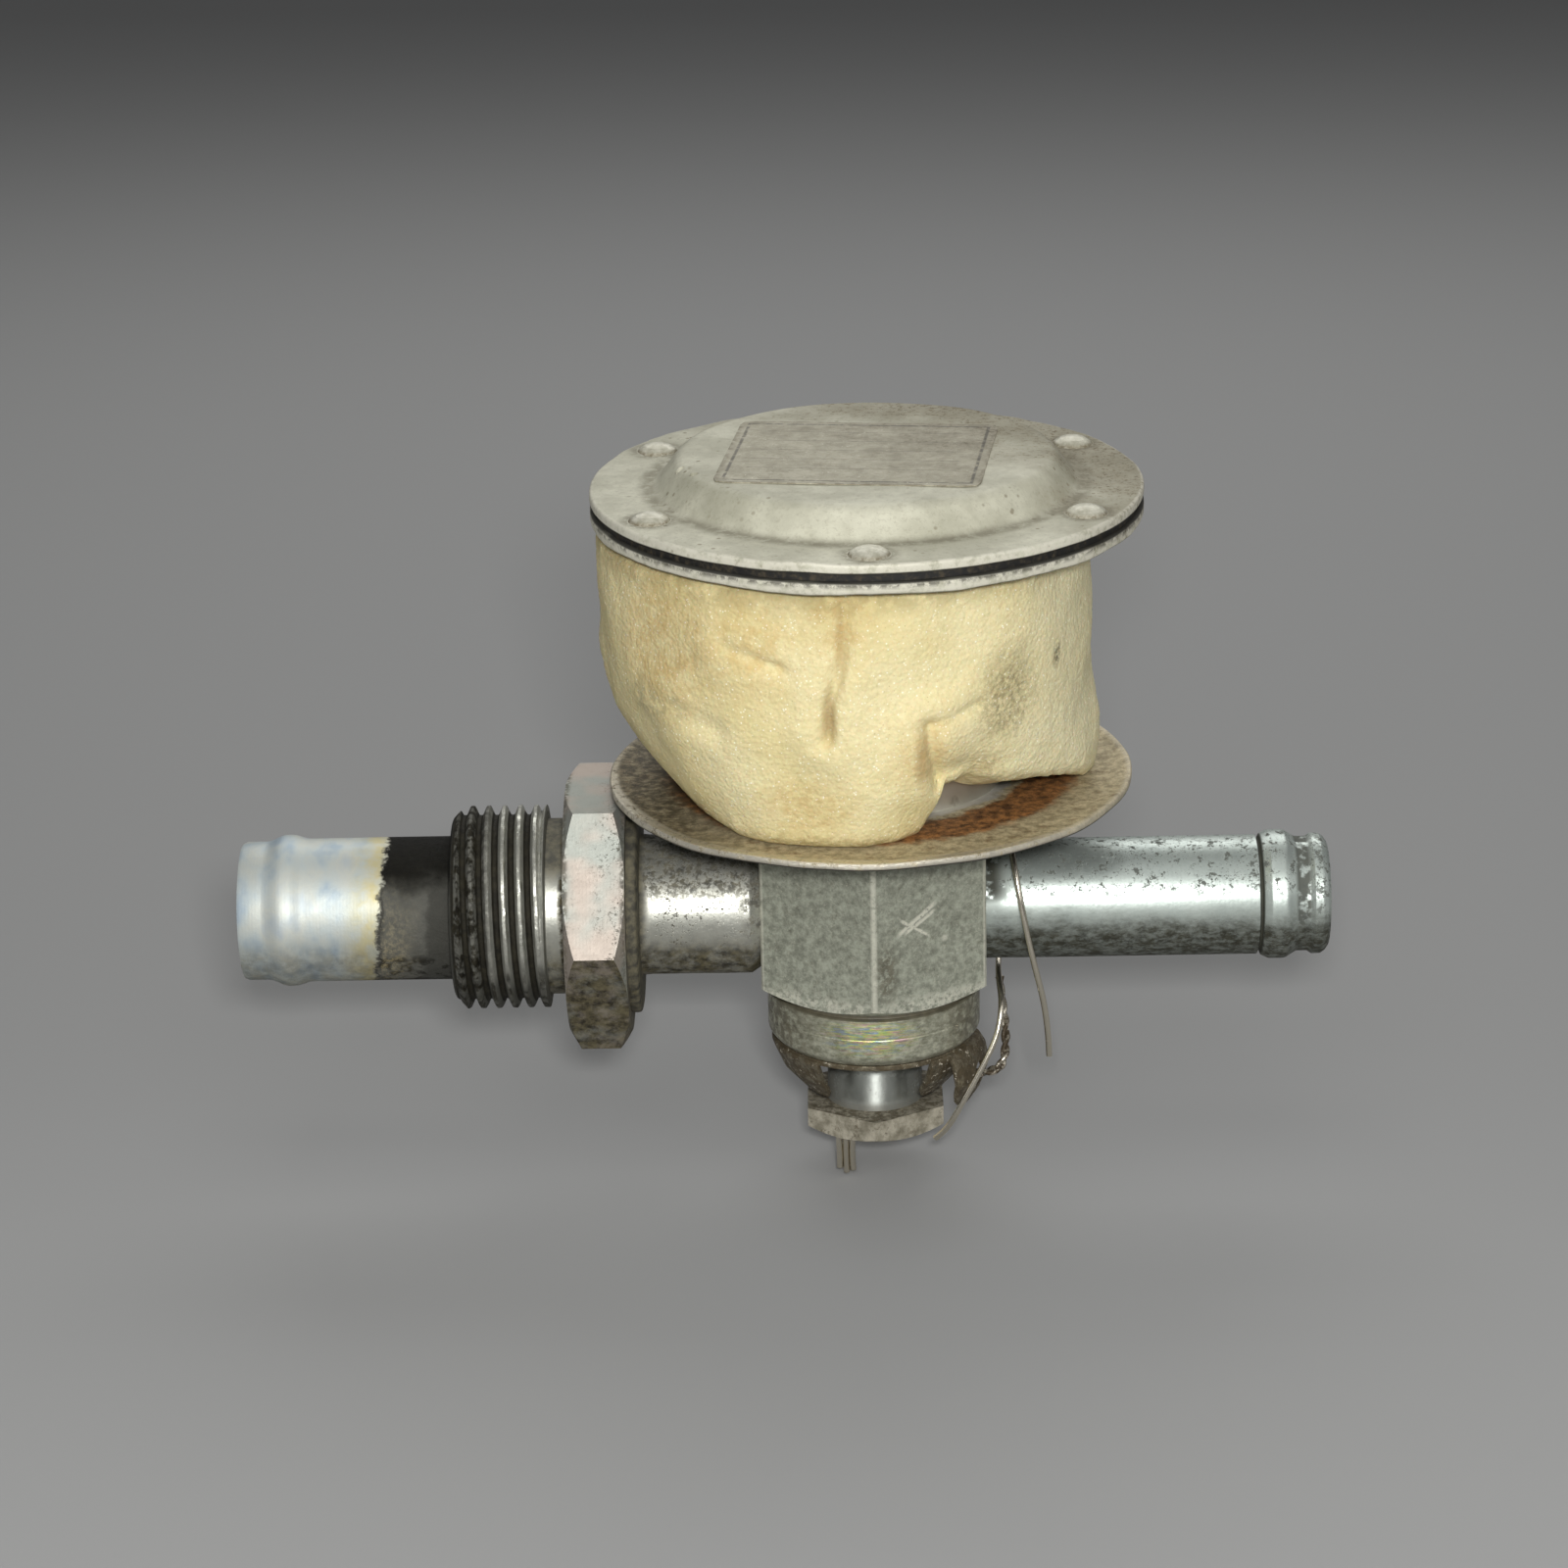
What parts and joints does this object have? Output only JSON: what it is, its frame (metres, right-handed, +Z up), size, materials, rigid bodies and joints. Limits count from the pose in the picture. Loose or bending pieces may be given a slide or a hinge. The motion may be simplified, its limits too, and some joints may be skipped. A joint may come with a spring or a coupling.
{
  "type": "vacuum regulating valve",
  "caption": "Inline vacuum regulating valve: diaphragm head over a foam air filter on a hex body, with hose tubes each side and an adjusting screw below.",
  "frame": {"origin": "centre of the big hex's panel face, on the hose line", "axes": "+X along the hose line from inlet to outlet, +Z up the valve axis towards the diaphragm cover"},
  "size_m": [0.144, 0.0712, 0.0992],
  "materials": {
    "zinc_steel": "zinc plated, worn and grimy",
    "tube_steel": "bright plated tube, pitted",
    "body_steel": "dull grey plated bar",
    "cover_sheet": "spun sheet, dirty and speckled",
    "plate_sheet": "plated sheet, corroded",
    "name_foil": "thin foil plate",
    "filter_foam": "open-cell foam, yellowed",
    "black_rubber": "rubber",
    "screw_steel": "polished shank, plated head",
    "washer_steel": "thin plated sheet, grimy",
    "wire_steel": "bright drawn wire",
    "seat_brass": "turned",
    "stem_steel": "turned",
    "spring_steel": "drawn wire"
  },
  "bodies": {
    "valve_housing": {"valve_body": "body_steel", "inlet_fitting": "zinc_steel", "outlet_tube": "tube_steel", "valve_seat": "seat_brass", "stem_guide": "seat_brass", "lower_housing": "cover_sheet", "diaphragm": "black_rubber", "upper_cover": "cover_sheet", "cover_rivets": "cover_sheet", "name_plate": "name_foil", "filter_plate": "plate_sheet", "filter_cage": "plate_sheet", "foam_filter": "filter_foam", "lock_tab_washer": "washer_steel", "lock_wire_loop": "wire_steel", "lock_wire_twist": "wire_steel"},
    "valve_spindle": {"valve_stem": "stem_steel", "poppet": "stem_steel", "poppet_seal": "black_rubber", "poppet_nut": "stem_steel", "diaphragm_plate_lower": "stem_steel", "diaphragm_plate_upper": "stem_steel", "stem_nut": "stem_steel"},
    "spring_carrier": {"spring_seat": "stem_steel", "main_spring": "spring_steel"},
    "adjuster": {"adjusting_screw": "screw_steel", "screw_o_ring": "black_rubber", "lock_wire_tail": "wire_steel"}
  },
  "joints": [
    {"name": "valve_lift", "type": "slide", "parent": "valve_housing", "child": "valve_spindle", "axis": [0, 0, 1], "range_m": [-0.0025, 0], "stiffness_N_per_m": 3100, "springref_m": 0.0077, "deforming": ["main_spring", "diaphragm"]},
    {"name": "adjuster_travel", "type": "slide", "parent": "valve_housing", "child": "spring_carrier", "axis": [0, 0, 1], "range_m": [-0.00254, 0.00254]},
    {"name": "adjuster_turn", "type": "hinge", "parent": "spring_carrier", "child": "adjuster", "pos_m": [0.0403, 0, 0], "axis": [0, 0, 1], "range_deg": [-720, 720]}
  ],
  "couplings": [
    {"joint": "adjuster_turn", "follows": "adjuster_travel", "rad_per_m": 4947.4}
  ]
}
